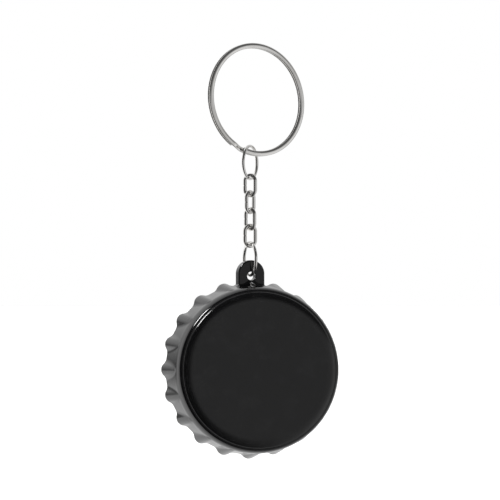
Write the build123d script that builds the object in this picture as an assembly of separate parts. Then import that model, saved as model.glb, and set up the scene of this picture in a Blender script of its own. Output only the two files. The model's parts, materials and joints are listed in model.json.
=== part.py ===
from build123d import *
import math
import os

# Keychain bottle opener: a crown-cap shaped opener hung from a split ring by a short link chain.
#
# Row frame, in millimetres: the origin is the point inside the top of the split ring on which the
# whole part hangs, +Z is up, the cap's flat face looks along -Y and its open side along +Y.
# A compass bearing, in degrees, is measured about +Z from -Y (0) towards +X (90).

# --- Cap: the driving sizes. Depths are measured backwards (+Y) from a plane 2.4 behind the face.
FACE_DEPTH = -2.4
FLAT_RADIUS = 16.4  # the face is flat inside this, and then curves back to the seam
SEAM_RADIUS = 19.0  # between the face disc and the body's front lip
SEAM_DEPTH = -1.4
CREASE_RADIUS = 20.3  # where the lip's curve has turned into the skirt
CREASE_DEPTH = 2.2
RIM_DEPTH = 10.3
SKIRT_FLARE = 0.056  # growth of the skirt's radius per millimetre of depth
FLUTES = 20
FLUTE_DEPTHS = [0.8, 1.3, 2.2, 4.2, 7.0, RIM_DEPTH]
FLUTE_HEIGHT = 1.15
FLUTE_TAPER = 0.85  # power of the depth with which the flutes grow towards the rim
FLUTE_TIP_RADIUS = 2.0
FLUTE_BLEND_RADIUS = 2.0

# --- Cap: the opening, sized for a 32.1 mm crown cap that is 6 mm high
BORE_RADIUS = 18.0
LEDGE_RADIUS = 16.9
LEDGE_THICKNESS = 1.3
PLATE_THICKNESS = 1.4
FLOOR_DEPTH = -0.4
LIP_HEIGHT = 0.8
LIP_WIDTH = 1.3
NOTCH_RADIUS = 13.4
NOTCH_DROP = 7.5  # the notch's centre lies this far below the cap's centre
LIP_HALF_ANGLE = 34
KEY_WIDTH = 3.0
KEY_HEIGHT = 0.8
KEY_BEARING = 62  # of the two locating ears, each side of straight up
CLEARANCE = 0.05

# --- Cap: the face disc, set into the body's front lip
FLANGE_DEPTH = 0.4
SLEEVE_RADIUS = 17.0

# --- Hanging lug on the skirt
LUG_WIDTH = 6.6
LUG_TOP = 26.6
LUG_FRONT_DEPTH = 7.1
LUG_REAR_DEPTH = 10.15
LUG_ROOT = 18.6
LUG_HOLE_RADIUS = 1.05
LUG_HOLE_HEIGHT = 22.75
LUG_EDGE_ROUND = 0.4

# --- Chain
LINK_WIRE = 0.9
LINK_WIDTH = 3.8
LINK_PITCH = 4.1
LINK_BEARINGS = [45.6, 129.6, 32.6, 107.6]
JUMP_WIRE = 0.75
JUMP_RADIUS = 4.0  # to the middle of the wire
TOP_JUMP_BEARING = 142.0
BOTTOM_JUMP_BEARING = 7.6
WIRE_GAP = 0.06  # left between wires that bear on each other
SPLIT_SEAT = 1.54  # from the split ring's coil up to the middle of the jump ring's wire
LUG_SEAT = 0.15  # from the lug hole's centre up to the middle of the jump ring's wire

# --- Split ring: two flat coils of one wire
RING_RADIUS = 13.3
RING_WIRE_RADIAL = 1.4
RING_WIRE_AXIAL = 0.66
COIL_SPACING = 0.69
RING_BEARING = 20.6
RING_TILT = 5.3  # the ring's axis rises by this angle towards the front
RING_CONTACT_ANGLE = 11.5  # from the ring's lowest point round to the jump ring
JOG_START = 236.0
JOG_END = 248.0
END_GAP = 0.6  # degrees left between each cut end and the jog

PARTS_FOLDER = "parts"


def bearing_vector(bearing):
    """Horizontal unit vector at a compass bearing."""
    angle = math.radians(bearing)
    return Vector(math.sin(angle), -math.cos(angle), 0)


# --- Where everything hangs -------------------------------------------------------------------
ring_axis = bearing_vector(RING_BEARING) * math.cos(math.radians(RING_TILT))
ring_axis += Vector(0, 0, math.sin(math.radians(RING_TILT)))
ring_side = bearing_vector(RING_BEARING + 90)
ring_up = ring_axis.cross(ring_side)
ring_centre = ring_up * -(RING_RADIUS - RING_WIRE_RADIAL / 2)
ring_plane = Plane(origin=ring_centre, x_dir=ring_side, z_dir=ring_axis)

contact = math.radians(RING_CONTACT_ANGLE)
split_contact = ring_centre - (ring_up * math.cos(contact) + ring_side * math.sin(contact)) * RING_RADIUS
link_seat = LINK_WIRE + WIRE_GAP
jump_seat = (LINK_WIRE + JUMP_WIRE) / 2 + WIRE_GAP


def below(point, distance):
    """The point that far straight below another."""
    return point - Vector(0, 0, distance)


# Each hinge point is the middle of the upper wire where the lower piece hangs on it.
top_jump_contact = below(split_contact, 2 * JUMP_RADIUS - SPLIT_SEAT)
link_contacts = [below(top_jump_contact, LINK_PITCH * count) for count in range(1, 5)]
lug_contact = below(link_contacts[-1], 2 * JUMP_RADIUS - jump_seat)

cap_centre = below(lug_contact, LUG_SEAT + LUG_HOLE_HEIGHT)
cap_centre -= Vector(0, (LUG_FRONT_DEPTH + LUG_REAR_DEPTH) / 2, 0)
# In the cap's own plane x runs to the left, y up and z backwards, so z is a depth.
cap_plane = Plane(origin=cap_centre, x_dir=(-1, 0, 0), z_dir=(0, 1, 0))

plate_rear = RIM_DEPTH - LEDGE_THICKNESS
plate_front = plate_rear - PLATE_THICKNESS
lip_width = CREASE_RADIUS - SEAM_RADIUS
lip_length = CREASE_DEPTH - SEAM_DEPTH


def at_depth(depth):
    """The cap's own plane, moved back to a depth."""
    return Plane.XY.offset(depth)


def polar(radius, angle):
    """Point in the cap's own plane at a radius and an angle in radians from straight up."""
    return Vector(-radius * math.sin(angle), radius * math.cos(angle), 0)


def disc(radius, front, rear):
    """Round disc between two depths."""
    return extrude(at_depth(front) * Circle(radius), rear - front)


def turned(half_section):
    """Solid of revolution of a (radius, depth) half section."""
    upright = Plane(origin=(0, 0, 0), x_dir=(1, 0, 0), z_dir=(0, -1, 0))
    return revolve(upright * half_section, Axis.Z)


# --- Cap body ---------------------------------------------------------------------------------
def skirt_radius(depth):
    """Radius of the body between the flutes: the lip's quarter ellipse, then a cone to the rim."""
    if depth > CREASE_DEPTH:
        return CREASE_RADIUS + SKIRT_FLARE * (depth - CREASE_DEPTH)
    share = (CREASE_DEPTH - depth) / lip_length
    return SEAM_RADIUS + lip_width * math.sqrt(1 - share**2)


def flute_rise(depth):
    """How far the flutes' crests stand out from the skirt, growing towards the rim."""
    progress = (depth - FLUTE_DEPTHS[0]) / (RIM_DEPTH - FLUTE_DEPTHS[0])
    return 0.01 + (FLUTE_HEIGHT - 0.01) * progress**FLUTE_TAPER


def arc_between(start, end, centre, radius):
    """Short arc from start to end on a circle."""
    middle = centre + ((start - centre) + (end - centre)).normalized() * radius
    return Edge.make_three_point_arc(start, middle, end)


def skirt_outline(depth):
    """Closed outline of the fluted skirt at a depth, all of tangent arcs."""
    valley = skirt_radius(depth)
    tip_centre = valley + flute_rise(depth) - FLUTE_TIP_RADIUS
    blend_centre = valley + FLUTE_BLEND_RADIUS
    reach = FLUTE_TIP_RADIUS + FLUTE_BLEND_RADIUS
    cosine = (tip_centre**2 + blend_centre**2 - reach**2) / (2 * tip_centre * blend_centre)
    spread = math.acos(cosine)
    pitch = 2 * math.pi / FLUTES
    origin = Vector(0, 0, 0)
    edges = []
    for count in range(FLUTES):
        middle = count * pitch
        tip = polar(tip_centre, middle)
        before = polar(blend_centre, middle - spread)
        after = polar(blend_centre, middle + spread)
        share = FLUTE_TIP_RADIUS / reach
        tip_start = tip + (before - tip) * share
        tip_end = tip + (after - tip) * share
        foot_start = polar(valley, middle - spread)
        foot_end = polar(valley, middle + spread)
        next_foot = polar(valley, middle + pitch - spread)
        edges.append(arc_between(foot_start, tip_start, before, FLUTE_BLEND_RADIUS))
        edges.append(arc_between(tip_start, tip_end, tip, FLUTE_TIP_RADIUS))
        edges.append(arc_between(tip_end, foot_end, after, FLUTE_BLEND_RADIUS))
        edges.append(arc_between(foot_end, next_foot, origin, valley))
    return at_depth(depth) * Face(Wire(edges))


def make_lug():
    """Upright arched tab with rounded edges, and the hole that the jump ring passes through."""
    half = LUG_WIDTH / 2
    arch_centre = LUG_TOP - half
    outline = Pos(0, (LUG_ROOT + arch_centre) / 2) * Rectangle(LUG_WIDTH, arch_centre - LUG_ROOT)
    outline += Pos(0, arch_centre) * Circle(half)
    thickness = LUG_REAR_DEPTH - LUG_FRONT_DEPTH
    lug = extrude(at_depth(LUG_FRONT_DEPTH) * outline, thickness)
    ends = lug.edges().filter_by_position(Axis.Z, LUG_FRONT_DEPTH, LUG_FRONT_DEPTH)
    ends += lug.edges().filter_by_position(Axis.Z, LUG_REAR_DEPTH, LUG_REAR_DEPTH)
    rounded = [edge for edge in ends if edge.center().Y > LUG_ROOT + 0.1]
    return fillet(rounded, LUG_EDGE_ROUND)


def make_lug_hole():
    """Hole through the lug, opened out at both faces so that the ring does not chafe."""
    thickness = LUG_REAR_DEPTH - LUG_FRONT_DEPTH
    hole = Pos(0, LUG_HOLE_HEIGHT, LUG_FRONT_DEPTH - 0.5) * extrude(Circle(LUG_HOLE_RADIUS), thickness + 1)
    flare = 0.25
    mouth = Cone(LUG_HOLE_RADIUS, LUG_HOLE_RADIUS + flare, flare)
    hole += Pos(0, LUG_HOLE_HEIGHT, LUG_REAR_DEPTH - flare / 2) * mouth
    hole += Pos(0, LUG_HOLE_HEIGHT, LUG_FRONT_DEPTH + flare / 2) * Rot(180, 0, 0) * mouth
    return hole


def make_keyways():
    """Grooves in the bore that take the plate's two locating ears."""
    groove = Box(KEY_WIDTH + 2 * CLEARANCE, 2 * KEY_HEIGHT, plate_rear - FLANGE_DEPTH)
    groove = Pos(0, BORE_RADIUS, (plate_rear + FLANGE_DEPTH) / 2) * groove
    return [Rot(0, 0, side * KEY_BEARING) * groove for side in (-1, 1)]


def make_cap_body():
    """Fluted skirt with its front lip, inward rear ledge and hanging lug, in one moulding."""
    fluted = loft([skirt_outline(depth) for depth in FLUTE_DEPTHS], ruled=True)
    lip = EllipticalCenterArc((SEAM_RADIUS, CREASE_DEPTH), lip_width, lip_length, -90, arc_size=90)
    inside = Polyline(
        (CREASE_RADIUS, CREASE_DEPTH),
        (0, CREASE_DEPTH),
        (0, SEAM_DEPTH),
        (SEAM_RADIUS, SEAM_DEPTH),
    )
    body = turned(make_face(lip + inside)) + fluted + make_lug()
    body -= disc(SEAM_RADIUS, SEAM_DEPTH - 1, FLANGE_DEPTH)
    body -= disc(BORE_RADIUS, FLANGE_DEPTH - 1, plate_rear)
    body -= disc(LEDGE_RADIUS, plate_rear - 1, RIM_DEPTH + 1)
    body -= make_keyways()
    return body - make_lug_hole()


# --- Face disc --------------------------------------------------------------------------------
def make_front_cover():
    """Face disc with a curved edge, and the sleeve behind it that clamps the steel plate."""
    edge_radius = SEAM_RADIUS - CLEARANCE
    outer_sleeve = BORE_RADIUS - CLEARANCE
    corner_round = 0.8
    edge_width = edge_radius - FLAT_RADIUS
    edge_length = SEAM_DEPTH - FACE_DEPTH
    face_line = Line((0, FACE_DEPTH), (FLAT_RADIUS, FACE_DEPTH))
    curve = EllipticalCenterArc((FLAT_RADIUS, SEAM_DEPTH), edge_width, edge_length, -90, arc_size=90)
    inside = Polyline(
        (edge_radius, SEAM_DEPTH),
        (edge_radius, FLANGE_DEPTH),
        (outer_sleeve, FLANGE_DEPTH),
        (outer_sleeve, plate_front),
        (SLEEVE_RADIUS, plate_front),
        (SLEEVE_RADIUS, FLOOR_DEPTH + corner_round),
        (SLEEVE_RADIUS - corner_round, FLOOR_DEPTH),
        (0, FLOOR_DEPTH),
        (0, FACE_DEPTH),
    )
    return turned(make_face(face_line + curve + inside))


# --- Steel plate ------------------------------------------------------------------------------
def make_opener_plate():
    """Half-moon steel plate with a raised lip round its notch, and two locating ears."""
    radius = BORE_RADIUS - 2 * CLEARANCE
    half_moon = Circle(radius) & (Pos(0, radius) * Rectangle(2 * radius, 2 * radius))
    ear = Pos(0, radius) * Rectangle(KEY_WIDTH, 2 * KEY_HEIGHT - 4 * CLEARANCE)
    for side in (-1, 1):
        half_moon += Rot(0, 0, side * KEY_BEARING) * ear
    half_moon -= Pos(0, -NOTCH_DROP) * Circle(NOTCH_RADIUS)
    plate = extrude(at_depth(plate_front) * half_moon, PLATE_THICKNESS)
    hook = Pos(0, -NOTCH_DROP) * (Circle(NOTCH_RADIUS + LIP_WIDTH) - Circle(NOTCH_RADIUS))
    wedge_reach = NOTCH_RADIUS + 10
    half_angle = math.radians(LIP_HALF_ANGLE)
    wedge = make_face(
        Polyline(
            (0, -NOTCH_DROP),
            (wedge_reach * math.tan(half_angle), wedge_reach - NOTCH_DROP),
            (-wedge_reach * math.tan(half_angle), wedge_reach - NOTCH_DROP),
            (0, -NOTCH_DROP),
        )
    )
    hook = extrude(at_depth(plate_front - LIP_HEIGHT) * (hook & wedge), LIP_HEIGHT)
    crest = hook.edges().filter_by_position(Axis.Z, plate_front - LIP_HEIGHT, plate_front - LIP_HEIGHT)
    return plate + fillet(crest, 0.3)


# --- Chain ------------------------------------------------------------------------------------
def hanging_plane(contact_point, bearing):
    """Upright plane at a bearing, with y up and its origin where the piece's bottom wire is."""
    return Plane(origin=contact_point, x_dir=bearing_vector(bearing), z_dir=bearing_vector(bearing - 90))


def make_link(contact_point, bearing):
    """Oval link of round wire."""
    radius = (LINK_WIDTH - LINK_WIRE) / 2
    length = LINK_PITCH + link_seat
    top_centre = length - radius
    path = Wire(
        [
            ThreePointArc((-radius, radius), (0, 0), (radius, radius)),
            Line((radius, radius), (radius, top_centre)),
            ThreePointArc((radius, top_centre), (0, length), (-radius, top_centre)),
            Line((-radius, top_centre), (-radius, radius)),
        ]
    )
    section = Plane(origin=(-radius, radius, 0), z_dir=(0, -1, 0)) * Circle(LINK_WIRE / 2)
    return hanging_plane(contact_point, bearing) * sweep(section, path)


def make_jump_ring(contact_point, bearing):
    """Round ring of thin wire at either end of the chain."""
    ring = Torus(JUMP_RADIUS, JUMP_WIRE / 2)
    return hanging_plane(contact_point, bearing) * Pos(0, JUMP_RADIUS) * ring


# --- Split ring -------------------------------------------------------------------------------
def ring_section(angle, layer):
    """Section of the ring's wire at an angle round the ring, on the front (1) or rear (-1) coil."""
    radians = math.radians(angle)
    outward = Vector(math.cos(radians), math.sin(radians), 0)
    along = Vector(-math.sin(radians), math.cos(radians), 0)
    middle = outward * RING_RADIUS + Vector(0, 0, layer * COIL_SPACING / 2)
    plane = Plane(origin=middle, x_dir=outward, z_dir=along)
    return plane * Ellipse(RING_WIRE_RADIAL / 2, RING_WIRE_AXIAL / 2)


def make_split_ring():
    """Two coils of one wire, joined by a short jog where the wire crosses from coil to coil."""
    jog_angle = JOG_END - JOG_START
    coil_angle = 360 - jog_angle - END_GAP
    front = revolve(ring_section(JOG_START - coil_angle, 1), Axis.Z, coil_angle)
    rear = revolve(ring_section(JOG_END, -1), Axis.Z, coil_angle)
    slope = Edge.make_helix(COIL_SPACING * 360 / jog_angle, COIL_SPACING, RING_RADIUS)
    slope = Rot(180, 0, 0) * slope
    slope = Pos(0, 0, COIL_SPACING / 2) * Rot(0, 0, JOG_START) * mirror(slope, Plane.XZ)
    jog = sweep(ring_section(JOG_START, 1), slope, binormal=Vector(0, 0, 1))
    return ring_plane * (front + jog + rear)


# --- Write every piece ------------------------------------------------------------------------
pieces = {
    "split_ring": make_split_ring(),
    "top_jump_ring": make_jump_ring(top_jump_contact, TOP_JUMP_BEARING),
    "bottom_jump_ring": make_jump_ring(lug_contact, BOTTOM_JUMP_BEARING),
    "cap_body": cap_plane * make_cap_body(),
    "front_cover": cap_plane * make_front_cover(),
    "opener_plate": cap_plane * make_opener_plate(),
}
for number, (link_contact, link_bearing) in enumerate(zip(link_contacts, LINK_BEARINGS), 1):
    pieces[f"chain_link_{number}"] = make_link(link_contact, link_bearing)

os.makedirs(PARTS_FOLDER, exist_ok=True)
for name, piece in pieces.items():
    export_step(piece, f"{PARTS_FOLDER}/{name}.step")
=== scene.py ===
"""Looks of the keychain bottle opener: every CAD piece is rebuilt here as a finer mesh of the same size,
apart from the split ring's wire, which is RING_EASE thinner on every side.

Lengths in this file are in millimetres until a mesh is made, except in the studio section.
Depths are measured backwards (+Y) from a plane 2.4 mm behind the cap's face, as in the CAD.
"""
import bpy
import bmesh
import json
import math
from mathutils import Matrix, Vector

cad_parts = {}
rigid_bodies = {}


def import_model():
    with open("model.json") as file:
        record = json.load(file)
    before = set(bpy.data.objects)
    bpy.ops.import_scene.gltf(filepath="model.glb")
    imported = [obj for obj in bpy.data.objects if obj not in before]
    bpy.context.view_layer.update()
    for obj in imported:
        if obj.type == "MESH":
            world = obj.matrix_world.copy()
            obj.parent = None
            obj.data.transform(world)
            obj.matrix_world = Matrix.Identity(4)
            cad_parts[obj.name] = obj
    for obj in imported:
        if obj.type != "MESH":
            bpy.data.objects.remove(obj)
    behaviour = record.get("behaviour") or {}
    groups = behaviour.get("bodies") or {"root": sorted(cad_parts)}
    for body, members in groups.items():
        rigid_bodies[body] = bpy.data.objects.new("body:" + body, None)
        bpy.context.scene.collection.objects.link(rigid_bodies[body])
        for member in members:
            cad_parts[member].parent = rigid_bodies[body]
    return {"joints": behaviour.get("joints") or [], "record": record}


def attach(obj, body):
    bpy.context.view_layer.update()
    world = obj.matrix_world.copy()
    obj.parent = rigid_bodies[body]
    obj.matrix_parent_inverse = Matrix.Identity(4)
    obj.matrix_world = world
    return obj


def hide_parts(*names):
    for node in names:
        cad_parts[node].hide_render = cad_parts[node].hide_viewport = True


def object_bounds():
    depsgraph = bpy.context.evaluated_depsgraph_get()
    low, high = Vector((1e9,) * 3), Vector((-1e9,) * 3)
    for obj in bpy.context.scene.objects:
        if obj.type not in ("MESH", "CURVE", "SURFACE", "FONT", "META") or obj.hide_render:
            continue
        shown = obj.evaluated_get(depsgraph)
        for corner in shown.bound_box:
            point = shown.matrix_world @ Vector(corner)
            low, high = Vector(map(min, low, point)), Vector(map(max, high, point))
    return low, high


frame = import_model()
cad_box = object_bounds()
record = frame["record"]
mounts = {mount["name"]: Vector(mount["pos_m"]) * 1000 for mount in record["mounts"]}
hinges = {joint["name"]: Vector(joint["pos_m"]) * 1000 for joint in frame["joints"]}

MM = 0.001

# --- Sizes shared with the CAD, in millimetres ---------------------------------------------------
FACE_DEPTH = -2.4
FLAT_RADIUS = 16.4
SEAM_RADIUS = 19.0
SEAM_DEPTH = -1.4
CREASE_RADIUS = 20.3
CREASE_DEPTH = 2.2
RIM_DEPTH = 10.3
SKIRT_FLARE = 0.056
FLUTES = 20
FLUTE_START = 0.8
FLUTE_HEIGHT = 1.15
FLUTE_TAPER = 0.85
FLUTE_TIP_RADIUS = 2.0
FLUTE_BLEND_RADIUS = 2.0
RIM_ROUND = 0.25
BORE_RADIUS = 18.0
LEDGE_RADIUS = 16.9
PLATE_REAR = 9.0
PLATE_FRONT = 7.6
FLOOR_DEPTH = -0.4
LIP_HEIGHT = 0.8
LIP_WIDTH = 1.3
NOTCH_RADIUS = 13.4
NOTCH_DROP = 7.5
LIP_HALF_ANGLE = 34
KEY_WIDTH = 3.0
KEY_HEIGHT = 0.8
KEY_BEARING = 62
CLEARANCE = 0.05
FLANGE_DEPTH = 0.4
SLEEVE_RADIUS = 17.0
LUG_WIDTH = 6.6
LUG_TOP = 26.6
LUG_FRONT_DEPTH = 7.1
LUG_REAR_DEPTH = 10.15
LUG_ROOT = 18.6
LUG_HOLE_RADIUS = 1.05
LUG_HOLE_HEIGHT = 22.75
LUG_EDGE_ROUND = 0.4
LUG_FOOT_ROUND = 0.45
LINK_WIRE = 0.9
LINK_WIDTH = 3.8
LINK_LENGTH = 5.06  # from the middle of the bottom wire to the middle of the top wire
LINK_BEARINGS = {"chain_link_1": 45.6, "chain_link_2": 129.6, "chain_link_3": 32.6, "chain_link_4": 107.6}
JUMP_WIRE = 0.75
JUMP_RADIUS = 4.0
JUMP_BEARINGS = {"top_jump_ring": 142.0, "bottom_jump_ring": 7.6}
JUMP_JOINT_ANGLES = {"top_jump_ring": 250, "bottom_jump_ring": 118}
RING_RADIUS = 13.3
RING_WIRE_RADIAL = 1.4
RING_WIRE_AXIAL = 0.66
COIL_SPACING = 0.69
RING_BEARING = 20.6
RING_TILT = 5.3
JOG_START = 236.0
JOG_END = 248.0
END_GAP = 0.6

# --- Sizes of the fine detail, in millimetres -----------------------------------------------------
RING_EASE = 0.055  # taken off the split ring's wire, so that it clears the top jump ring when it swings
SECTIONS_PER_FLUTE = 40
KEYWAY_WALL_ANGLE = 0.0002  # radians to each side of a keyway's wall
LEDGE_MOUTH_ROUND = 0.15
REAR_FILLET_SHARE = 0.7  # the fillet at the lug's foot is shallower behind than in front
HOLE_ROUND = 0.2
PLATE_ROLL = 0.22
PLATE_BREAK = 0.14
HOOK_CREST_ROUND = 0.3
HOOK_SUNK = 0.2  # how far the lip's foot lies inside the plate
HOOK_END_LENGTH = 0.35
WIRE_SIDES = 32
COIL_SECTIONS = 470

cap_centre = mounts["crown_socket"] - Vector((0, RIM_DEPTH, 0))


# --- Mesh helpers ---------------------------------------------------------------------------------
def steps(first, last, count):
    """Evenly spaced numbers from first to last, both included."""
    return [first + (last - first) * index / (count - 1) for index in range(count)]


def clamp(value, low=0.0, high=1.0):
    return max(low, min(high, value))


def smooth(value):
    """Smooth step between 0 and 1."""
    value = clamp(value)
    return value * value * (3 - 2 * value)


def make_object(name, vertices, faces, sharp_angle):
    """Mesh object from points in millimetres, shaded smooth except across sharp edges."""
    mesh = bpy.data.meshes.new(name)
    mesh.from_pydata([point * MM for point in vertices], [], faces)
    shape = bmesh.new()
    shape.from_mesh(mesh)
    bmesh.ops.recalc_face_normals(shape, faces=shape.faces)
    shape.to_mesh(mesh)
    shape.free()
    mesh.shade_smooth()
    mesh.set_sharp_from_angle(angle=math.radians(sharp_angle))
    mesh.validate()
    piece = bpy.data.objects.new(name, mesh)
    bpy.context.scene.collection.objects.link(piece)
    return piece


def skin(loops, join_ends, first_vertex=0):
    """Quads between neighbouring closed loops of the same number of points."""
    faces = []
    around = len(loops[0])
    rows = len(loops) if join_ends else len(loops) - 1
    for row in range(rows):
        here = first_vertex + row * around
        there = first_vertex + ((row + 1) % len(loops)) * around
        for index in range(around):
            after = (index + 1) % around
            faces.append((here + index, here + after, there + after, there + index))
    return faces


def flatten(loops):
    return [point for loop in loops for point in loop]


def arc_points(centre, radius, start, end, count):
    """Points of an arc in a half section, angles in degrees from the +radius axis to the +depth axis."""
    points = []
    for angle in steps(math.radians(start), math.radians(end), count):
        points.append((centre[0] + radius * math.cos(angle), centre[1] + radius * math.sin(angle)))
    return points


def edge_curve(centre, across, deep, count):
    """Quarter of an ellipse in a half section, from facing forwards to facing outwards."""
    points = []
    for turn in steps(0, math.pi / 2, count):
        points.append((centre[0] + across * math.sin(turn), centre[1] - deep * math.cos(turn)))
    return points


def cap_point(radius, angle, depth):
    """Point of the cap at a radius, an angle clockwise from straight up, and a depth."""
    return cap_centre + Vector((radius * math.sin(angle), depth, radius * math.cos(angle)))


# --- Cap body -------------------------------------------------------------------------------------
PITCH = 2 * math.pi / FLUTES


def valley_radius(depth):
    """Radius of the body between the flutes: the lip's quarter ellipse, then a cone to the rim."""
    if depth > CREASE_DEPTH:
        return CREASE_RADIUS + SKIRT_FLARE * (depth - CREASE_DEPTH)
    share = (CREASE_DEPTH - depth) / (CREASE_DEPTH - SEAM_DEPTH)
    return SEAM_RADIUS + (CREASE_RADIUS - SEAM_RADIUS) * math.sqrt(1 - share * share)


def skirt_radius(angle, depth):
    """Outside radius of the fluted body: tip arcs and foot arcs on flutes that grow towards the rim."""
    valley = valley_radius(depth)
    if depth <= FLUTE_START:
        return valley
    rise = FLUTE_HEIGHT * ((depth - FLUTE_START) / (RIM_DEPTH - FLUTE_START)) ** FLUTE_TAPER
    away = abs((angle + PITCH / 2) % PITCH - PITCH / 2)
    tip_centre = valley + rise - FLUTE_TIP_RADIUS
    foot_centre = valley + FLUTE_BLEND_RADIUS
    reach = FLUTE_TIP_RADIUS + FLUTE_BLEND_RADIUS
    cosine = (tip_centre**2 + foot_centre**2 - reach**2) / (2 * tip_centre * foot_centre)
    spread = math.acos(clamp(cosine, -1, 1))
    share = FLUTE_TIP_RADIUS / reach
    tangent_x = foot_centre * math.sin(spread) * share
    tangent_y = tip_centre + (foot_centre * math.cos(spread) - tip_centre) * share
    tip_end = math.atan2(tangent_x, tangent_y)
    if away <= tip_end:
        side = tip_centre * math.sin(away)
        return tip_centre * math.cos(away) + math.sqrt(FLUTE_TIP_RADIUS**2 - side * side)
    if away < spread:
        side = foot_centre * math.sin(spread - away)
        return foot_centre * math.cos(spread - away) - math.sqrt(FLUTE_BLEND_RADIUS**2 - side * side)
    return valley


def wall_depths():
    """Depths of the body's rows from the seam to the rim, closer together on the lip's curve."""
    length = CREASE_DEPTH - SEAM_DEPTH
    rows = [CREASE_DEPTH - length * math.cos(turn) for turn in steps(0.1, math.pi / 2, 34)]
    return rows + steps(CREASE_DEPTH, RIM_DEPTH - RIM_ROUND, 36)[1:]


def cap_section(angle, bore):
    """Closed half section of the cap body at an angle, as (radius, depth) points."""
    # The lip's sharp edge at the seam is broken by a few hundredths of a millimetre.
    section = [(SEAM_RADIUS, SEAM_DEPTH + 0.12), (SEAM_RADIUS + 0.03, SEAM_DEPTH + 0.04)]
    section += [(skirt_radius(angle, depth), depth) for depth in wall_depths()]
    rim_edge = skirt_radius(angle, RIM_DEPTH - RIM_ROUND) - RIM_ROUND
    section += arc_points((rim_edge, RIM_DEPTH - RIM_ROUND), RIM_ROUND, 0, 90, 6)[1:]
    inner = LEDGE_RADIUS + RIM_ROUND
    section += [(inner + (rim_edge - inner) * share, RIM_DEPTH) for share in (0.75, 0.5, 0.25)]
    section += arc_points((inner, RIM_DEPTH - RIM_ROUND), RIM_ROUND, 90, 180, 6)
    mouth = (LEDGE_RADIUS + LEDGE_MOUTH_ROUND, PLATE_REAR + LEDGE_MOUTH_ROUND)
    section += arc_points(mouth, LEDGE_MOUTH_ROUND, 180, 270, 4)
    section += [(bore, depth) for depth in (PLATE_REAR, 6.4, 3.8, FLANGE_DEPTH)]
    section += [(SEAM_RADIUS, FLANGE_DEPTH), (SEAM_RADIUS, FLOOR_DEPTH)]
    return section


def shell_angles():
    """Angles of the cap body's sections with its bore radius at each, including the keyways' walls."""
    count = FLUTES * SECTIONS_PER_FLUTE
    bearing = math.radians(KEY_BEARING)
    keyway = BORE_RADIUS + KEY_HEIGHT
    half = math.asin((KEY_WIDTH / 2 + CLEARANCE) / BORE_RADIUS)
    result = []
    for index in range(count):
        angle = 2 * math.pi * index / count
        signed = (angle + math.pi) % (2 * math.pi) - math.pi
        inside = abs(abs(signed) - bearing) < half - 5 * KEYWAY_WALL_ANGLE
        result.append((angle, keyway if inside else BORE_RADIUS))
    for side in (-1, 1):
        for edge in (-1, 1):
            wall = side * bearing + edge * half
            result.append(((wall - edge * KEYWAY_WALL_ANGLE) % (2 * math.pi), keyway))
            result.append(((wall + edge * KEYWAY_WALL_ANGLE) % (2 * math.pi), BORE_RADIUS))
    return sorted(result)


def shell_loops():
    loops = []
    for angle, bore in shell_angles():
        loops.append([cap_point(radius, angle, depth) for radius, depth in cap_section(angle, bore)])
    return loops


def lug_reach(direction):
    """Distance from the hole's centre to the lug's outline, and the outline's outward normal there."""
    sine, cosine = math.sin(direction), math.cos(direction)
    half = LUG_WIDTH / 2
    arch = LUG_TOP - half - LUG_HOLE_HEIGHT
    along = arch * cosine
    reach = along + math.sqrt(along * along - arch * arch + half * half)
    if reach * cosine >= arch:
        return reach, Vector((reach * sine, reach * cosine - arch)) / half
    sideways = half / abs(sine) if abs(sine) > 1e-6 else math.inf
    down = (LUG_HOLE_HEIGHT - LUG_ROOT) / -cosine if cosine < -1e-6 else math.inf
    if sideways < down:
        return sideways, Vector((math.copysign(1, sine), 0))
    return down, Vector((0, -1))


def flared(x, height, depth, normal_x, normal_depth):
    """Point of the lug moved out along its surface where it runs into the skirt, as a small fillet."""
    above = math.hypot(x, height) - skirt_radius(math.atan2(x, height), min(depth, RIM_DEPTH - RIM_ROUND))
    away = LUG_FOOT_ROUND - clamp(above, 0, LUG_FOOT_ROUND)
    out = LUG_FOOT_ROUND - math.sqrt(LUG_FOOT_ROUND**2 - away * away)
    x += normal_x * out
    depth += normal_depth * out * (REAR_FILLET_SHARE if normal_depth > 0 else 1)
    return cap_centre + Vector((x, depth, height))


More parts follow.
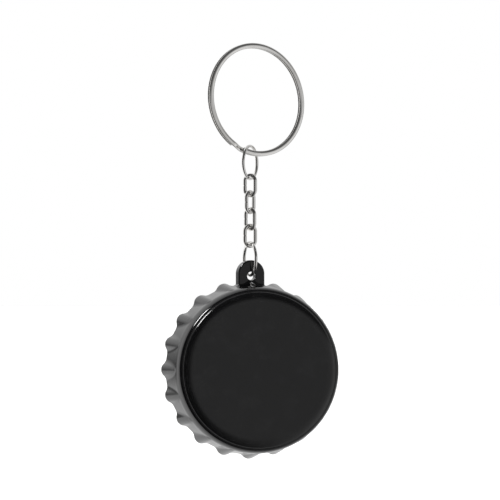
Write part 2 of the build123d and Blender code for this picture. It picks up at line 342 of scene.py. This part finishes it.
def lug_loops():
    """Sections of the lug round its hole: front face, rounded edge, rear face and the hole itself."""
    thickness = LUG_REAR_DEPTH - LUG_FRONT_DEPTH
    mouth = LUG_HOLE_RADIUS + HOLE_ROUND
    loops = []
    for direction in steps(0, 2 * math.pi, 289)[:-1]:
        reach, normal = lug_reach(direction)
        sine, cosine = math.sin(direction), math.cos(direction)
        loop = []

        def add(distance, inset, depth, edge_share, depth_share):
            x = sine * distance - normal.x * inset
            height = LUG_HOLE_HEIGHT + cosine * distance - normal.y * inset
            loop.append(flared(x, height, depth, normal.x * edge_share, depth_share))

        def add_plain(distance, depth):
            height = LUG_HOLE_HEIGHT + cosine * distance
            loop.append(cap_centre + Vector((sine * distance, depth, height)))

        def add_hole_edge(depth, sign, first, last):
            for angle in steps(first, last, 6):
                distance = LUG_HOLE_RADIUS + HOLE_ROUND * (1 - math.cos(angle))
                add_plain(distance, depth + sign * HOLE_ROUND * (1 - math.sin(angle)))

        def add_face(depth, sign, first, last):
            for share in steps(first, last, 22)[1:-1]:
                add(mouth + (reach - mouth) * share, LUG_EDGE_ROUND * share, depth, 0, sign)

        add_hole_edge(LUG_FRONT_DEPTH, 1, 0, math.pi / 2)
        add_face(LUG_FRONT_DEPTH, -1, 0.0, 1.0)
        for angle in steps(0, math.pi / 2, 9):
            inset = LUG_EDGE_ROUND * (1 - math.sin(angle))
            depth = LUG_FRONT_DEPTH + LUG_EDGE_ROUND * (1 - math.cos(angle))
            add(reach, inset, depth, math.sin(angle), -math.cos(angle))
        for share in steps(0.0, 1.0, 10)[1:-1]:
            depth = LUG_FRONT_DEPTH + LUG_EDGE_ROUND + (thickness - 2 * LUG_EDGE_ROUND) * share
            add(reach, 0, depth, 1, 0)
        for angle in steps(0, math.pi / 2, 9):
            inset = LUG_EDGE_ROUND * (1 - math.cos(angle))
            depth = LUG_REAR_DEPTH - LUG_EDGE_ROUND * (1 - math.sin(angle))
            add(reach, inset, depth, math.cos(angle), math.sin(angle))
        add_face(LUG_REAR_DEPTH, 1, 1.0, 0.0)
        add_hole_edge(LUG_REAR_DEPTH, -1, math.pi / 2, 0)
        for share in steps(1.0, 0.0, 8)[1:-1]:
            depth = LUG_FRONT_DEPTH + HOLE_ROUND + (thickness - 2 * HOLE_ROUND) * share
            add_plain(LUG_HOLE_RADIUS, depth)
        loops.append(loop)
    return loops


def make_cap_body():
    shell = shell_loops()
    lug = lug_loops()
    vertices = flatten(shell) + flatten(lug)
    faces = skin(shell, True) + skin(lug, True, len(shell) * len(shell[0]))
    return make_object("cap_shell", vertices, faces, 32)


# --- Face disc ------------------------------------------------------------------------------------
def make_front_cover():
    """Turned section of the face disc, its curved edge and the sleeve behind it."""
    edge = SEAM_RADIUS - CLEARANCE
    outer = BORE_RADIUS - CLEARANCE
    corner = 0.8
    middle = 4
    section = [(radius, FACE_DEPTH) for radius in (0.4, 1.2, 3, 6, 9, 12, 14, 15)]
    section += edge_curve((FLAT_RADIUS, SEAM_DEPTH), edge - FLAT_RADIUS, SEAM_DEPTH - FACE_DEPTH, 40)
    section += [(edge, FLOOR_DEPTH), (edge, FLANGE_DEPTH), (outer, FLANGE_DEPTH), (outer, middle)]
    section += [(outer, PLATE_FRONT), (SLEEVE_RADIUS, PLATE_FRONT), (SLEEVE_RADIUS, middle)]
    section += arc_points((SLEEVE_RADIUS - corner, FLOOR_DEPTH + corner), corner, 0, -90, 8)
    section += [(radius, FLOOR_DEPTH) for radius in (15.2, 13, 10, 7, 4, 1.2, 0.4)]
    around = 320
    loops = []
    for radius, depth in section:
        loops.append([cap_point(radius, 2 * math.pi * index / around, depth) for index in range(around)])
    vertices = flatten(loops)
    faces = skin(loops, False)
    faces.append(tuple(range(around)))
    last = (len(loops) - 1) * around
    faces.append(tuple(range(last, last + around)))
    return make_object("face_disc", vertices, faces, 32)


# --- Steel plate ----------------------------------------------------------------------------------
def plate_outline():
    """Outline of the half-moon plate with its two ears and its notch, as (x, height) points."""
    radius = BORE_RADIUS - 2 * CLEARANCE
    top = radius + KEY_HEIGHT - 2 * CLEARANCE
    bearing = math.radians(KEY_BEARING)
    ear_tip = math.atan((KEY_WIDTH / 2) / top)
    ear_foot = math.asin((KEY_WIDTH / 2) / radius)
    outline = []

    def arc(first, last, count):
        for angle in steps(first, last, count):
            outline.append((radius * math.sin(angle), radius * math.cos(angle)))

    def ear(middle):
        for offset in steps(-ear_tip, ear_tip, 7):
            reach = top / math.cos(offset)
            outline.append((reach * math.sin(middle + offset), reach * math.cos(middle + offset)))

    arc(math.radians(-90), -bearing - ear_foot, 20)
    ear(-bearing)
    arc(-bearing + ear_foot, bearing - ear_foot, 80)
    ear(bearing)
    arc(bearing + ear_foot, math.radians(90), 20)
    half_angle = math.acos(NOTCH_DROP / NOTCH_RADIUS)
    mouth = NOTCH_RADIUS * math.sin(half_angle)
    for x in steps(radius, mouth, 8)[1:-1]:
        outline.append((x, 0))
    for angle in steps(half_angle, -half_angle, 97):
        outline.append((NOTCH_RADIUS * math.sin(angle), NOTCH_RADIUS * math.cos(angle) - NOTCH_DROP))
    for x in steps(-mouth, -radius, 8)[1:-1]:
        outline.append((x, 0))
    return outline


def inset_outline(outline, distance):
    """The outline moved inwards, with its corners' mitres limited."""
    moved = []
    for index, (x, y) in enumerate(outline):
        before = Vector(outline[index - 1])
        after = Vector(outline[(index + 1) % len(outline)])
        here = Vector((x, y))
        into = (here - before).normalized()
        away = (after - here).normalized()
        first = Vector((into.y, -into.x))
        second = Vector((away.y, -away.x))
        mitre = (first + second).normalized()
        stretch = min(1.6, 1 / max(0.3, mitre.dot(first)))
        moved.append(here + mitre * distance * stretch)
    return moved


def plate_loops():
    """Loops up the plate's edge, rolled over at the punch side and crisper at the break side."""
    outline = plate_outline()
    quarter = steps(0, math.pi / 2, 6)
    rows = []
    for turn in quarter:
        rows.append((PLATE_ROLL * (1 - math.sin(turn)), PLATE_FRONT + PLATE_ROLL * (1 - math.cos(turn))))
    for turn in quarter:
        rows.append((PLATE_BREAK * (1 - math.cos(turn)), PLATE_REAR - PLATE_BREAK * (1 - math.sin(turn))))
    result = []
    for inset, depth in rows:
        points = inset_outline(outline, inset)
        result.append([cap_centre + Vector((point.x, depth, point.y)) for point in points])
    return result


def hook_loops():
    """Raised lip round the notch that catches under the crown's edge, rounded on its crest and ends."""
    front = PLATE_FRONT - LIP_HEIGHT
    rear = PLATE_FRONT + HOOK_SUNK
    crest = HOOK_CREST_ROUND
    inner = NOTCH_RADIUS + 0.02
    outer = NOTCH_RADIUS + LIP_WIDTH
    section = [(inner, rear), (inner, PLATE_FRONT - 0.1)]
    section += arc_points((inner + crest, front + crest), crest, 180, 270, 6)
    section += arc_points((outer - crest, front + crest), crest, 270, 360, 6)
    section += [(outer, PLATE_FRONT - 0.1), (outer, rear)]
    middle = (inner + outer) / 2
    loops = []
    for angle in steps(-LIP_HALF_ANGLE, LIP_HALF_ANGLE, 73):
        from_end = math.radians(LIP_HALF_ANGLE - abs(angle)) * NOTCH_RADIUS
        shrink = math.sqrt(1 - (1 - clamp(from_end / HOOK_END_LENGTH, 0.02, 1)) ** 2)
        width_share = 0.55 + 0.45 * shrink
        height_share = 0.3 + 0.7 * shrink
        turn = math.radians(angle)
        loop = []
        for radius, depth in section:
            radius = middle + (radius - middle) * width_share
            depth = rear + (depth - rear) * height_share
            x = radius * math.sin(turn)
            height = radius * math.cos(turn) - NOTCH_DROP
            loop.append(cap_centre + Vector((x, depth, height)))
        loops.append(loop)
    return loops


def make_plate():
    plate = plate_loops()
    hook = hook_loops()
    vertices = flatten(plate) + flatten(hook)
    faces = skin(plate, False)
    around = len(plate[0])
    last = (len(plate) - 1) * around
    faces.append(tuple(range(around)))
    faces.append(tuple(range(last, last + around)))
    start = len(plate) * around
    section = len(hook[0])
    faces += skin(hook, False, start)
    faces.append(tuple(range(start, start + section)))
    faces.append(tuple(range(start + (len(hook) - 1) * section, start + len(hook) * section)))
    return make_object("steel_plate", vertices, faces, 35)


# --- Bent wire ------------------------------------------------------------------------------------
def bearing_vector(bearing):
    """Horizontal unit vector at a bearing in degrees, from -Y (0) towards +X (90)."""
    angle = math.radians(bearing)
    return Vector((math.sin(angle), -math.cos(angle), 0))


def joint_depth(distance, width):
    """1 at a wire's butt joint, falling to 0 beside it."""
    return math.exp(-((distance / width) ** 2))


def wire_loop(middle, outward, binormal, radius):
    """Round section of wire about a point of its path."""
    loop = []
    for index in range(WIRE_SIDES):
        angle = 2 * math.pi * index / WIRE_SIDES
        offset = outward * math.cos(angle) + binormal * math.sin(angle)
        loop.append(middle + offset * radius)
    return loop


def make_link(name, contact, bearing):
    """Oval link of round wire, closed by a butt joint in one straight side."""
    radius = (LINK_WIDTH - LINK_WIRE) / 2
    straight = LINK_LENGTH - 2 * radius
    across = bearing_vector(bearing)
    binormal = bearing_vector(bearing - 90)
    up = Vector((0, 0, 1))
    path = []
    for angle in steps(0, 180, 49)[:-1]:
        turn = math.radians(angle)
        outward = -across * math.cos(turn) - up * math.sin(turn)
        path.append((up * radius + outward * radius, outward, math.inf))
    for along in steps(0, straight, 17)[:-1]:
        path.append((across * radius + up * (radius + along), across, math.inf))
    for angle in steps(0, 180, 49)[:-1]:
        turn = math.radians(angle)
        outward = across * math.cos(turn) + up * math.sin(turn)
        path.append((up * (radius + straight) + outward * radius, outward, math.inf))
    near = [0.03, 0.06, 0.1, 0.16, 0.25]
    offsets = [-gap for gap in reversed(near)] + [0.0] + near
    half = straight / 2
    rows = steps(-half, -0.4, 6) + offsets + steps(0.4, half, 6)[:-1]
    for offset in rows:
        height = radius + half - offset
        path.append((-across * radius + up * height, -across, offset))
    loops = []
    for centre, outward, from_joint in path:
        # A sharp groove where the ends butt, in a wider and much shallower pinch.
        groove = 0.07 * joint_depth(from_joint, 0.05) + 0.012 * joint_depth(from_joint, 0.3)
        loops.append(wire_loop(contact + centre, outward, binormal, LINK_WIRE / 2 - groove))
    return make_object(name, flatten(loops), skin(loops, True), 40)


def make_jump_ring(name, contact, bearing, joint_angle):
    """Round ring of thin wire, closed by a butt joint."""
    across = bearing_vector(bearing)
    binormal = bearing_vector(bearing - 90)
    up = Vector((0, 0, 1))
    centre = contact + up * JUMP_RADIUS
    near = [0.0, 0.5, 1.0, 1.6, 2.5, 4.0]
    turns = near + steps(6, 354, 140) + [360 - angle for angle in reversed(near[1:])]
    loops = []
    for turn in turns:
        from_joint = math.radians(min(turn, 360 - turn)) * JUMP_RADIUS
        wire = JUMP_WIRE / 2 - 0.06 * joint_depth(from_joint, 0.045)
        angle = math.radians(joint_angle + turn)
        outward = across * math.sin(angle) - up * math.cos(angle)
        loops.append(wire_loop(centre + outward * JUMP_RADIUS, outward, binormal, wire))
    return make_object(name, flatten(loops), skin(loops, True), 40)


def ring_frame():
    """Centre, sideways, upward and axial directions of the split ring."""
    tilt = math.radians(RING_TILT)
    axis = bearing_vector(RING_BEARING) * math.cos(tilt) + Vector((0, 0, math.sin(tilt)))
    side = bearing_vector(RING_BEARING + 90)
    up = axis.cross(side)
    centre = mounts["key_ring_hang"] - up * (RING_RADIUS - RING_WIRE_RADIAL / 2)
    return centre, side, up, axis


def wire_section():
    """Oval section of the ring's flattened wire, as (outward, axial) points."""
    turns = steps(0, 2 * math.pi, 41)[:-1]
    radial = RING_WIRE_RADIAL / 2 - RING_EASE
    axial = RING_WIRE_AXIAL / 2 - RING_EASE
    return [(math.cos(turn) * radial, math.sin(turn) * axial) for turn in turns]


def make_split_ring():
    """Two flat coils of one wire, with the jog where it crosses over and a rounded cut at each end."""
    centre, side, up, axis = ring_frame()
    section = wire_section()
    coil = 360 - (JOG_END - JOG_START) - END_GAP
    first = JOG_START - coil
    last = JOG_END + coil
    ends = [0.0, 0.12, 0.3, 0.6, 1.0]
    turns = [first + step for step in ends] + steps(first + 2, last - 2, COIL_SECTIONS)
    turns += [last - step for step in reversed(ends)]
    loops = []
    for turn in turns:
        level = 0.5 - smooth((turn - JOG_START) / (JOG_END - JOG_START))
        from_end = min(turn - first, last - turn)
        # Each cut end rounds off over its last degree of turn.
        shrink = 1 - 0.22 * (1 - clamp(from_end)) ** 2.4
        angle = math.radians(turn)
        outward = side * math.cos(angle) + up * math.sin(angle)
        loop = []
        for radial, axial in section:
            reach = RING_RADIUS + radial * shrink
            loop.append(centre + outward * reach + axis * (axial * shrink + level * COIL_SPACING))
        loops.append(loop)
    around = len(section)
    faces = skin(loops, False)
    faces.append(tuple(range(around)))
    faces.append(tuple(range((len(loops) - 1) * around, len(loops) * around)))
    return make_object("key_ring", flatten(loops), faces, 40)


# --- Materials ------------------------------------------------------------------------------------
class Nodes:
    """Short calls for building one material's node tree."""

    def __init__(self, name):
        self.material = bpy.data.materials.new(name)
        self.material.use_nodes = True
        self.tree = self.material.node_tree
        self.shader = self.tree.nodes["Principled BSDF"]
        self.place = self.tree.nodes.new("ShaderNodeTexCoord").outputs["Object"]

    def link(self, output, target):
        self.tree.links.new(output, target)

    def set(self, name, value):
        self.shader.inputs[name].default_value = value

    def stretched(self, scale, turn=(0, 0, 0)):
        """Object coordinates turned, then scaled differently along each axis."""
        node = self.tree.nodes.new("ShaderNodeMapping")
        node.inputs["Scale"].default_value = scale
        node.inputs["Rotation"].default_value = [math.radians(angle) for angle in turn]
        self.link(self.place, node.inputs["Vector"])
        return node.outputs["Vector"]

    def noise(self, scale, detail=2.0, rough=0.5, vector=None, distortion=0.0):
        node = self.tree.nodes.new("ShaderNodeTexNoise")
        node.inputs["Scale"].default_value = scale
        node.inputs["Detail"].default_value = detail
        node.inputs["Roughness"].default_value = rough
        node.inputs["Distortion"].default_value = distortion
        self.link(vector or self.place, node.inputs["Vector"])
        return node.outputs["Fac"]

    def cells(self, scale):
        """Distance to the nearest of many scattered points."""
        node = self.tree.nodes.new("ShaderNodeTexVoronoi")
        node.inputs["Scale"].default_value = scale
        self.link(self.place, node.inputs["Vector"])
        return node.outputs["Distance"]

    def ramp(self, value, low, high, from_value=0.0, to_value=1.0):
        """Smooth remap of value from low..high to from_value..to_value."""
        node = self.tree.nodes.new("ShaderNodeMapRange")
        node.interpolation_type = "SMOOTHSTEP"
        node.inputs["From Min"].default_value = low
        node.inputs["From Max"].default_value = high
        node.inputs["To Min"].default_value = from_value
        node.inputs["To Max"].default_value = to_value
        self.link(value, node.inputs["Value"])
        return node.outputs["Result"]

    def maths(self, operation, first, second):
        node = self.tree.nodes.new("ShaderNodeMath")
        node.operation = operation
        for index, value in enumerate((first, second)):
            if isinstance(value, (int, float)):
                node.inputs[index].default_value = value
            else:
                self.link(value, node.inputs[index])
        return node.outputs["Value"]

    def mix(self, factor, first, second):
        """Colour between two colours."""
        node = self.tree.nodes.new("ShaderNodeMix")
        node.data_type = "RGBA"
        self.link(factor, node.inputs["Factor"])
        for socket, value in ((node.inputs[6], first), (node.inputs[7], second)):
            if isinstance(value, tuple):
                socket.default_value = (*value, 1)
            else:
                self.link(value, socket)
        return node.outputs[2]

    def bump(self, height, strength, distance, under=None):
        node = self.tree.nodes.new("ShaderNodeBump")
        node.inputs["Strength"].default_value = strength
        node.inputs["Distance"].default_value = distance
        self.link(height, node.inputs["Height"])
        if under is not None:
            self.link(under, node.inputs["Normal"])
        return node.outputs["Normal"]

    def scratches(self, scale, thin, turns):
        """Sparse hairline scratches in a few directions: 1 on a scratch and 0 elsewhere."""
        total = None
        for turn in turns:
            field = self.stretched((scale, scale * 0.03, scale * 0.9), turn)
            lines = self.noise(1.0, 1.0, 0.5, field, 0.4)
            away = self.maths("ABSOLUTE", self.maths("SUBTRACT", lines, 0.5), 0)
            line = self.ramp(away, 0.0, thin, 1.0, 0.0)
            patches = self.ramp(self.noise(scale * 0.25, 1.0), 0.52, 0.62)
            line = self.maths("MULTIPLY", line, patches)
            total = line if total is None else self.maths("MAXIMUM", total, line)
        return total


def gloss_black(name, satin):
    """Moulded black plastic: faint orange peel, hairline scratches, handling haze and a little dust."""
    n = Nodes(name)
    dust = n.ramp(n.cells(1500), 0.04, 0.09, 1.0, 0.0)
    dust = n.maths("MULTIPLY", dust, n.ramp(n.noise(180, 2), 0.5, 0.62))
    scratch = n.scratches(900, 0.02, [(0, 25, 0), (40, -35, 10), (80, 70, 30)])
    haze = n.noise(90, 4, 0.6)
    marks = n.maths("MULTIPLY", n.maths("MAXIMUM", n.maths("MULTIPLY", scratch, 0.4), dust), 0.35)
    colour = n.mix(haze, (0.0006, 0.0006, 0.0007), (0.0016, 0.0016, 0.0018))
    n.link(n.mix(marks, colour, (0.03, 0.03, 0.031)), n.shader.inputs["Base Color"])
    rough = n.ramp(haze, 0.3, 0.75, satin, satin + 0.07)
    rough = n.maths("ADD", rough, n.maths("MULTIPLY", marks, 0.25))
    n.link(rough, n.shader.inputs["Roughness"])
    n.set("IOR", 1.5)
    peel = n.bump(n.noise(420, 2, 0.5), 0.35, 0.00001)
    ripple = n.bump(n.noise(60, 1, 0.4), 0.25, 0.00006, peel)
    n.link(n.bump(scratch, 0.25, 0.000006, ripple), n.shader.inputs["Normal"])
    return n.material


def bright_nickel(name, rough):
    """Bright nickel plate on bent wire: soft waves, handling scratches, faint yellowing and pits."""
    n = Nodes(name)
    cloud = n.noise(160, 4, 0.6)
    scratch = n.scratches(1600, 0.03, [(10, 20, 0), (60, -50, 20), (-30, 80, 60)])
    pits = n.ramp(n.cells(1400), 0.02, 0.12, 1.0, 0.0)
    pits = n.maths("MULTIPLY", pits, n.ramp(n.noise(420, 2), 0.56, 0.66))
    tone = n.mix(n.ramp(cloud, 0.35, 0.7), (0.80, 0.79, 0.775), (0.72, 0.705, 0.68))
    n.link(n.mix(pits, tone, (0.32, 0.30, 0.28)), n.shader.inputs["Base Color"])
    n.set("Metallic", 1.0)
    surface = n.ramp(cloud, 0.3, 0.75, rough, rough + 0.07)
    surface = n.maths("ADD", surface, n.maths("MULTIPLY", scratch, 0.18))
    surface = n.maths("ADD", surface, n.maths("MULTIPLY", pits, 0.3))
    n.link(surface, n.shader.inputs["Roughness"])
    waves = n.bump(n.noise(500, 1, 0.4), 0.05, 0.00001)
    lines = n.bump(scratch, 0.2, 0.000004, waves)
    n.link(n.bump(pits, -0.4, 0.00001, lines), n.shader.inputs["Normal"])
    return n.material


def tumbled_steel(name):
    """Stamped steel: rolling grain across the sheet, a cloudy tone and tumbling scratches."""
    n = Nodes(name)
    grain = n.noise(1.0, 4, 0.7, n.stretched((160, 9000, 9000)))
    fine = n.noise(1.0, 3, 0.6, n.stretched((500, 22000, 22000)))
    scratch = n.scratches(1100, 0.035, [(0, 30, 0), (0, -60, 0), (0, 85, 10)])
    cloud = n.noise(120, 4, 0.6)
    tone = n.mix(cloud, (0.50, 0.50, 0.51), (0.60, 0.60, 0.60))
    n.link(n.mix(grain, tone, (0.42, 0.42, 0.43)), n.shader.inputs["Base Color"])
    n.set("Metallic", 1.0)
    rough = n.ramp(grain, 0.3, 0.7, 0.24, 0.40)
    rough = n.maths("ADD", rough, n.ramp(cloud, 0.4, 0.7, 0.0, 0.08))
    n.link(n.maths("ADD", rough, n.maths("MULTIPLY", scratch, 0.12)), n.shader.inputs["Roughness"])
    brushed = n.bump(n.maths("ADD", grain, n.maths("MULTIPLY", fine, 0.5)), 0.35, 0.00002)
    n.link(n.bump(scratch, 0.3, 0.00001, brushed), n.shader.inputs["Normal"])
    return n.material


def dress(piece, material, body, slot, *nodes):
    """Gives a piece its material and its place in the assembly."""
    piece.data.materials.append(material)
    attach(piece, body)
    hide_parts(*nodes)


cap_plastic = gloss_black("black_abs_gloss", 0.07)
disc_plastic = gloss_black("black_abs_face", 0.10)
nickel_wire = bright_nickel("nickel_chain", 0.10)
nickel_ring = bright_nickel("nickel_ring", 0.09)
plate_steel = tumbled_steel("tumbled_steel")

dress(make_cap_body(), cap_plastic, "cap", "body_plastic", "cap_body")
dress(make_front_cover(), disc_plastic, "cap", "face_plastic", "front_cover")
dress(make_plate(), plate_steel, "cap", "plate_steel", "opener_plate")
dress(make_split_ring(), nickel_ring, "split_ring", "ring_nickel", "split_ring")

# A hinge lies in the wire of the upper piece, so a hanging piece's bottom wire is the next hinge down.
below = {
    "top_jump_ring": hinges["chain_link_1_swing"],
    "chain_link_1": hinges["chain_link_2_swing"],
    "chain_link_2": hinges["chain_link_3_swing"],
    "chain_link_3": hinges["chain_link_4_swing"],
    "chain_link_4": hinges["bottom_ring_swing"],
    "bottom_jump_ring": hinges["cap_swing"],
}
for body, bearing in LINK_BEARINGS.items():
    link = make_link(body.replace("chain_", "oval_"), below[body], bearing)
    dress(link, nickel_wire, body, "chain_nickel", body)
for body, joint_angle in JUMP_JOINT_ANGLES.items():
    ring = make_jump_ring(body.replace("jump", "chain"), below[body], JUMP_BEARINGS[body], joint_angle)
    dress(ring, nickel_wire, body, "chain_nickel", body)


# --- Studio (metres) ------------------------------------------------------------------------------
CAMERA_DISTANCE = 0.98
AIM_RIGHT = -0.00201  # from a point on the cap's axis to the point that the camera looks at
AIM_UP = 0.02901
FLOOR_GAP = 0.03
FLOOR_REACH = 12
BRIGHTEST = 1.5  # a level above any that the surroundings use
turn, rise = math.radians(-13.35), math.radians(-0.5)
RIGHT = Vector((math.cos(turn), math.sin(turn), 0))
FRONT = Vector((math.sin(turn) * math.cos(rise), -math.cos(turn) * math.cos(rise), math.sin(rise)))
UP = FRONT.cross(RIGHT)
target = cap_centre * MM + RIGHT * AIM_RIGHT + UP * AIM_UP

camera_data = bpy.data.cameras.new("camera")
camera_data.sensor_width = 36
camera_data.lens = 292
camera_data.clip_start = 0.05
camera_data.clip_end = 50
camera = bpy.data.objects.new("camera", camera_data)
camera.location = target + FRONT * CAMERA_DISTANCE
camera.rotation_mode = "QUATERNION"
camera.rotation_quaternion = Matrix((RIGHT, UP, FRONT)).transposed().to_quaternion()
bpy.context.scene.collection.objects.link(camera)
bpy.context.scene.camera = camera


def make_floor():
    """Plain pale floor, a little below the hanging cap."""
    level = cad_box[0].z - FLOOR_GAP
    signs = [(-1, -1), (1, -1), (1, 1), (-1, 1)]
    corners = [Vector((x * FLOOR_REACH, y * FLOOR_REACH, level)) / MM for x, y in signs]
    floor = make_object("floor", corners, [(0, 1, 2, 3)], 30)
    n = Nodes("pale_floor")
    n.link(n.mix(n.noise(3, 3), (0.86, 0.86, 0.86), (0.9, 0.9, 0.9)), n.shader.inputs["Base Color"])
    n.set("Roughness", 0.9)
    n.set("Specular IOR Level", 0.1)
    floor.data.materials.append(n.material)
    floor.visible_glossy = False


def make_softbox(name, direction, distance, width, height, power, toward):
    """Soft rectangular light at a distance from a point, facing it."""
    data = bpy.data.lights.new(name, "AREA")
    data.shape = "RECTANGLE"
    data.size = width
    data.size_y = height
    data.energy = power
    light = bpy.data.objects.new(name, data)
    light.location = toward + direction.normalized() * distance
    light.rotation_mode = "QUATERNION"
    light.rotation_quaternion = (toward - light.location).to_track_quat("-Z", "Y")
    bpy.context.scene.collection.objects.link(light)
    return light


def make_surroundings():
    """Pale room as the surfaces mirror it, and plain white where the camera sees it.

    In front it is dark to the left and above, and lighter to the right and below; behind it is bright
    with a darker band along the horizon.
    """
    world = bpy.data.worlds.new("studio")
    bpy.context.scene.world = world
    world.use_nodes = True
    tree = world.node_tree
    tree.nodes.clear()
    direction = tree.nodes.new("ShaderNodeTexCoord").outputs["Generated"]

    def along(axis):
        """The direction's component along an axis."""
        node = tree.nodes.new("ShaderNodeVectorMath")
        node.operation = "DOT_PRODUCT"
        node.inputs[1].default_value = axis
        tree.links.new(direction, node.inputs[0])
        return node.outputs["Value"]

    def levels(component, stops):
        """Brightness by a component of the direction, at stops between -1 and 1."""
        spread = tree.nodes.new("ShaderNodeMapRange")
        spread.inputs["From Min"].default_value = -1
        tree.links.new(component, spread.inputs["Value"])
        node = tree.nodes.new("ShaderNodeValToRGB")
        points = node.color_ramp.elements
        while len(points) < len(stops):
            points.new(0.5)
        for point, (position, level) in zip(points, stops):
            point.position = (position + 1) / 2
            point.color = [level / BRIGHTEST] * 3 + [1]
        tree.links.new(spread.outputs["Result"], node.inputs["Fac"])
        return node.outputs["Color"]

    def blend(component, low, high, first, second):
        """The first level below low, the second above high."""
        share = tree.nodes.new("ShaderNodeMapRange")
        share.interpolation_type = "SMOOTHSTEP"
        share.inputs["From Min"].default_value = low
        share.inputs["From Max"].default_value = high
        tree.links.new(component, share.inputs["Value"])
        node = tree.nodes.new("ShaderNodeMix")
        node.data_type = "RGBA"
        tree.links.new(share.outputs["Result"], node.inputs["Factor"])
        tree.links.new(first, node.inputs[6])
        tree.links.new(second, node.inputs[7])
        return node.outputs[2]

    forward = along(Vector((FRONT.x, FRONT.y, 0)).normalized())
    side = along(RIGHT)
    up = along(Vector((0, 0, 1)))
    left_half = [(-1, 0.05), (-0.4, 0.04), (-0.1, 0.08)]
    right_half = [(0.07, 0.17), (0.3, 0.44), (0.5, 0.47), (0.8, 0.55), (1, 0.85)]
    level = levels(side, left_half + right_half)
    above = levels(side, [(-1, 0.03), (0, 0.07), (1, 0.12)])
    under = levels(side, [(-1, 0.04), (0, 0.08), (0.3, 0.2), (0.6, 0.5), (1, 1.0)])
    ahead = blend(up, 0.1, 0.4, blend(up, -0.35, -0.1, under, level), above)
    below_horizon = [(-1, 1), (-0.15, 0.9), (-0.05, 0.3)]
    above_horizon = [(0.02, 0.2), (0.1, 0.45), (0.3, 0.85), (1, 0.9)]
    rear = levels(up, below_horizon + above_horizon)
    flank = levels(side, [(-1, 1.45), (-0.8, 1.45), (0, 0.7), (0.9, 0.5), (1, 0.5)])
    behind = blend(forward, -0.78, -0.5, rear, flank)
    mirrored = tree.nodes.new("ShaderNodeBackground")
    mirrored.inputs["Strength"].default_value = BRIGHTEST
    tree.links.new(blend(forward, -0.15, 0.05, behind, ahead), mirrored.inputs["Color"])
    seen = tree.nodes.new("ShaderNodeBackground")
    seen.inputs["Color"].default_value = (1, 1, 1, 1)
    rays = tree.nodes.new("ShaderNodeLightPath")
    choose = tree.nodes.new("ShaderNodeMixShader")
    output = tree.nodes.new("ShaderNodeOutputWorld")
    tree.links.new(rays.outputs["Is Camera Ray"], choose.inputs["Fac"])
    tree.links.new(mirrored.outputs["Background"], choose.inputs[1])
    tree.links.new(seen.outputs["Background"], choose.inputs[2])
    tree.links.new(choose.outputs["Shader"], output.inputs["Surface"])


make_floor()
make_surroundings()
key = make_softbox(
    "key_softbox",
    direction=Vector((-0.64, -0.2, 0.75)),
    distance=1.0,
    width=0.22,
    height=0.3,
    power=9,
    toward=cap_centre * MM,
)

# The key light reaches the cap's pieces and the floor only. On the thin nickel wire its mirrored patch
# would break up into white specks.
lit = bpy.data.collections.new("lit_by_key")
for piece in bpy.context.scene.objects:
    if piece.type == "MESH" and not piece.data.materials[0].name.startswith("nickel"):
        lit.objects.link(piece)
key.light_linking.receiver_collection = lit

sky = bpy.data.lights.new("overhead", "SUN")
sky.energy = 3.8
sky.angle = math.radians(70)
overhead = bpy.data.objects.new("overhead", sky)
overhead.rotation_euler = (math.radians(18), math.radians(-12), 0)
overhead.visible_glossy = False
bpy.context.scene.collection.objects.link(overhead)

bpy.context.scene.view_settings.view_transform = "Standard"
